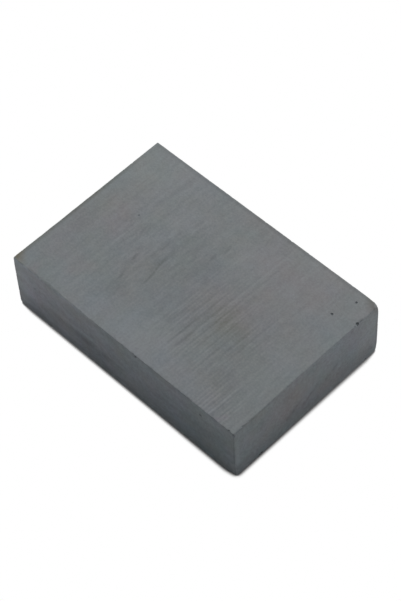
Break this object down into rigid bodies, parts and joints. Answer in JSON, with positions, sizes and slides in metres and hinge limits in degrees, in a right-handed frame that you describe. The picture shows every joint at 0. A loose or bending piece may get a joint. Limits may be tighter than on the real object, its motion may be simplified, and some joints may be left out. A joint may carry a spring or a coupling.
{
  "type": "ferrite block magnet",
  "caption": "Rectangular sintered ferrite block magnet with ground pole faces, broken arrises and lightly chipped corners, for holding or sensing by its pull through the thickness.",
  "frame": {"origin": "centre of the lower pole face, on which the block rests", "axes": "+X along the length, +Y along the width, +Z through the thickness, which is the direction of magnetisation"},
  "size_m": [0.06, 0.04, 0.015],
  "materials": {
    "ferrite": "matt dark grey sintered ferrite, finely ground across the pole faces"
  },
  "bodies": {
    "root": {"ferrite_block": "ferrite"}
  },
  "joints": []
}
